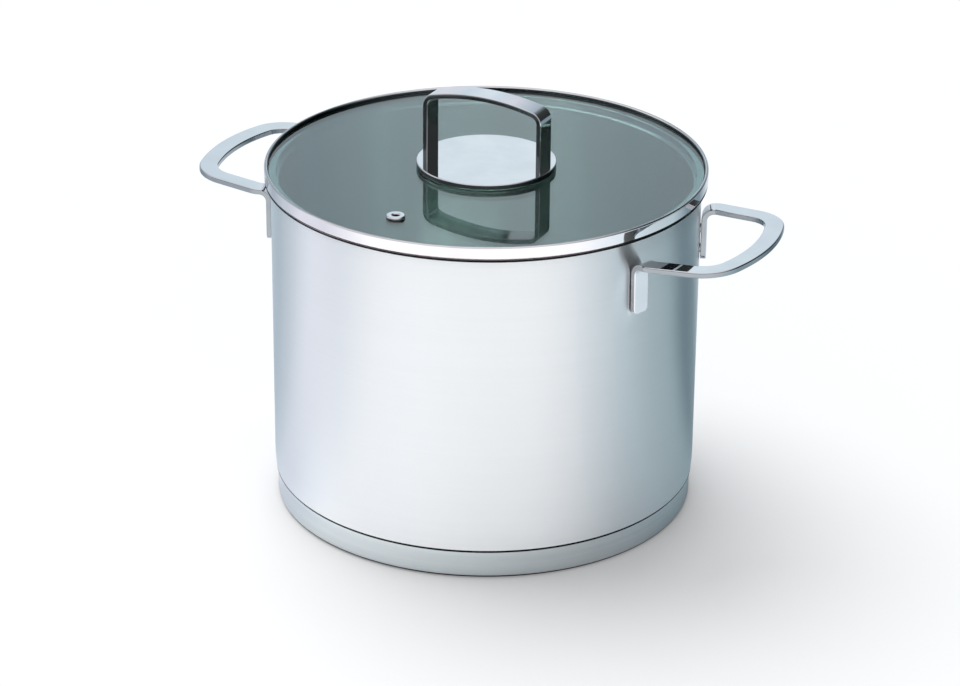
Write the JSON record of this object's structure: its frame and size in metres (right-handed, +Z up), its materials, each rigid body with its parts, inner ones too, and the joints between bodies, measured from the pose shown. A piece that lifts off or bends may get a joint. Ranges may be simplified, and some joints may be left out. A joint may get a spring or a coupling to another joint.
{
  "type": "stock pot",
  "caption": "Deep round steel stock pot on a thick capsule base, with flat steel loop side handles and a flat glass lid that lifts off by a steel bridge handle.",
  "frame": {"origin": "on the axis of the pot, on the surface that it stands on", "axes": "+Z up along the pot's axis, X through the two side handles, -Y towards the lid's steam vent"},
  "size_m": [0.3438, 0.2484, 0.2404],
  "materials": {
    "polished_steel": "mirror-polished stainless steel",
    "satin_steel": "satin-polished stainless steel",
    "aluminium": "impact-bonded aluminium",
    "tinted_glass": "clear tempered glass with a faint green-grey tint",
    "silicone": "food-grade silicone",
    "fastener_steel": "plain stainless fastener steel"
  },
  "bodies": {
    "pot": {"pot_shell": "satin_steel", "base_core": "aluminium", "base_cap": "satin_steel", "side_handle_right": "polished_steel", "side_handle_left": "polished_steel", "handle_welds_right": "fastener_steel", "handle_welds_left": "fastener_steel"},
    "lid": {"lid_glass": "tinted_glass", "glass_seal": "silicone", "lid_rim": "polished_steel", "lid_disc": "polished_steel", "lid_handle": "polished_steel", "disc_gasket": "silicone", "lid_boss": "fastener_steel", "inner_gasket": "silicone", "lid_washer": "fastener_steel", "lid_lock_washer": "fastener_steel", "lid_screw": "fastener_steel", "vent_eyelet": "polished_steel", "vent_washer": "silicone"}
  },
  "joints": [
    {"name": "lid_lift", "type": "slide", "parent": "pot", "child": "lid", "axis": [0, 0, 1], "range_m": [0, 0.25]}
  ]
}
